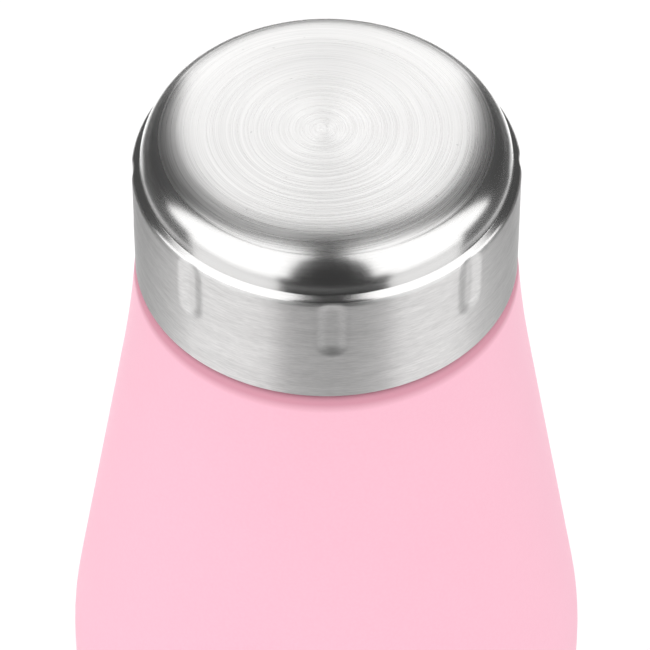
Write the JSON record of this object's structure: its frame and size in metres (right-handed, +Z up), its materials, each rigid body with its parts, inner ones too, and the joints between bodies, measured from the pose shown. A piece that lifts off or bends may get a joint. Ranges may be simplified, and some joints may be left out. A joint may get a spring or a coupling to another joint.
{
  "type": "baby bottle",
  "caption": "Insulated steel baby bottle with a pink powder-coated body, a fluted brushed-steel screw lid, and a teat stored upside down under a screw collar.",
  "frame": {"origin": "centre of the base pad's underside, on the plane that the bottle stands on", "axes": "+Z up along the bottle's axis; -Y is the front, where one flute of the lid faces"},
  "size_m": [0.066, 0.066, 0.1718],
  "materials": {
    "powder_coat": "matte",
    "lid_steel": "satin",
    "liner_steel": "satin",
    "cover_steel": "satin",
    "copper": "satin",
    "solder_glass": "gloss",
    "getter_alloy": "matte",
    "pad_silicone": "matte",
    "teat_silicone": "satin",
    "white_plastic": "satin",
    "liner_plastic": "satin",
    "gasket_silicone": "matte",
    "foam": "matte"
  },
  "bodies": {
    "bottle": {"outer_shell": "powder_coat", "shell_base": "powder_coat", "vacuum_seal": "solder_glass", "getter": "getter_alloy", "inner_liner": "liner_steel", "copper_foil": "copper", "base_cover": "cover_steel", "base_pad": "pad_silicone"},
    "stored_teat": {"teat": "teat_silicone", "sealing_disc": "white_plastic"},
    "collar": {"collar": "white_plastic"},
    "gasket": {"lid_gasket": "gasket_silicone"},
    "lid": {"lid_cover": "lid_steel", "lid_liner": "liner_plastic", "lid_insulation": "foam", "lid_inner_plate": "cover_steel"}
  },
  "joints": [
    {"name": "collar_rise", "type": "slide", "parent": "bottle", "child": "stored_teat", "axis": [0, 0, 1], "range_m": [0, 0.0481]},
    {"name": "collar_turn", "type": "hinge", "parent": "stored_teat", "child": "collar", "pos_m": [0, 0, 0.158], "axis": [0, 0, 1], "range_deg": [0, 2160]},
    {"name": "lid_rise", "type": "slide", "parent": "collar", "child": "gasket", "axis": [0, 0, 1], "range_m": [0, 0.0201]},
    {"name": "lid_turn", "type": "hinge", "parent": "gasket", "child": "lid", "pos_m": [0, 0, 0.16], "axis": [0, 0, 1], "range_deg": [0, 900]}
  ],
  "couplings": [
    {"joint": "collar_rise", "follows": "collar_turn", "m_per_rad": 0.0012732},
    {"joint": "lid_rise", "follows": "lid_turn", "m_per_rad": 0.0012732}
  ]
}
